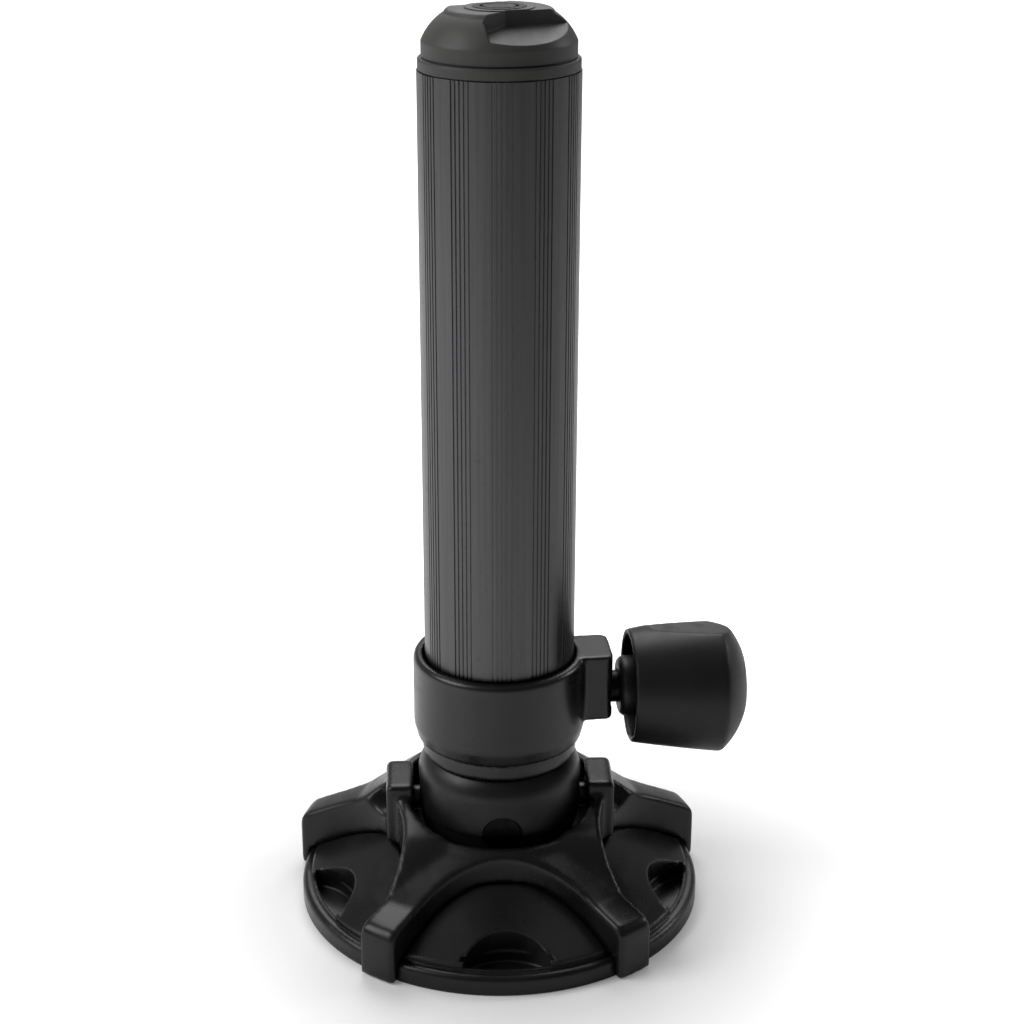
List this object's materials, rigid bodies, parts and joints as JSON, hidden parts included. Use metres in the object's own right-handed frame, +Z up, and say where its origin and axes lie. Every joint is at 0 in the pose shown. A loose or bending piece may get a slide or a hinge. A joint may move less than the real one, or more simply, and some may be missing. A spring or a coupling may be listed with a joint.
{
  "type": "adjustable furniture leg",
  "caption": "Telescopic seat box leg: grooved tube with push-in cap, clamp collar with side hand knob, and a tilting round mud foot with open arms.",
  "frame": {"origin": "middle of the foot's sole, where it stands on the ground", "axes": "+Z up along the leg, -Y towards the front of the pictured leg, +X towards the hand knob"},
  "size_m": [0.1104, 0.1012, 0.2169],
  "materials": {
    "foot_plastic": "satin black moulded plastic",
    "collar_plastic": "satin black moulded plastic",
    "knob_plastic": "satin dark moulded plastic",
    "cap_plastic": "satin dark moulded plastic",
    "badge_plastic": "dark, polished plain disc",
    "inner_plastic": "plain dark bearing plastic",
    "grooved_tube": "dark grey anodised, finely grooved lengthwise",
    "plain_tube": "natural anodised",
    "zinc_steel": "plain bright steel"
  },
  "bodies": {
    "foot": {"base_plate": "foot_plastic", "foot_frame": "foot_plastic", "frame_screws": "zinc_steel", "pivot_pin_left": "foot_plastic", "pivot_pin_right": "foot_plastic"},
    "cross": {"cross_block": "inner_plastic"},
    "inner_leg": {"knuckle_cup": "foot_plastic", "cross_pin": "zinc_steel", "cross_pin_cap": "zinc_steel", "inner_tube": "plain_tube", "tube_pin": "zinc_steel", "slide_bush": "inner_plastic"},
    "guide": {"guide_ring": "inner_plastic"},
    "outer_leg": {"outer_tube": "grooved_tube", "clamp_collar": "collar_plastic", "screw_insert": "zinc_steel", "top_cap": "cap_plastic", "cap_badge": "badge_plastic"},
    "pad": {"clamp_pad": "inner_plastic"},
    "knob": {"clamp_knob": "knob_plastic", "clamp_screw": "zinc_steel"}
  },
  "joints": [
    {"name": "foot_tilt", "type": "hinge", "parent": "foot", "child": "cross", "pos_m": [0, 0, 0.025], "axis": [1, 0, 0], "range_deg": [-20, 20]},
    {"name": "leg_tilt", "type": "hinge", "parent": "cross", "child": "inner_leg", "pos_m": [0, 0, 0.025], "axis": [0, 1, 0], "range_deg": [-10, 10]},
    {"name": "leg_extend", "type": "slide", "parent": "inner_leg", "child": "guide", "axis": [0, 0, 1], "range_m": [0, 0.1]},
    {"name": "leg_turn", "type": "hinge", "parent": "guide", "child": "outer_leg", "pos_m": [0, 0, 0.05], "axis": [0, 0, 1], "continuous": true},
    {"name": "pad_travel", "type": "slide", "parent": "outer_leg", "child": "pad", "axis": [0.9986, 0.0523, 0], "range_m": [0, 0.00225]},
    {"name": "knob_turn", "type": "hinge", "parent": "pad", "child": "knob", "pos_m": [0, 0, 0.054], "axis": [0.9986, 0.0523, 0], "range_deg": [0, 540]}
  ],
  "couplings": [
    {"joint": "knob_turn", "follows": "pad_travel", "rad_per_m": 4188.8}
  ]
}
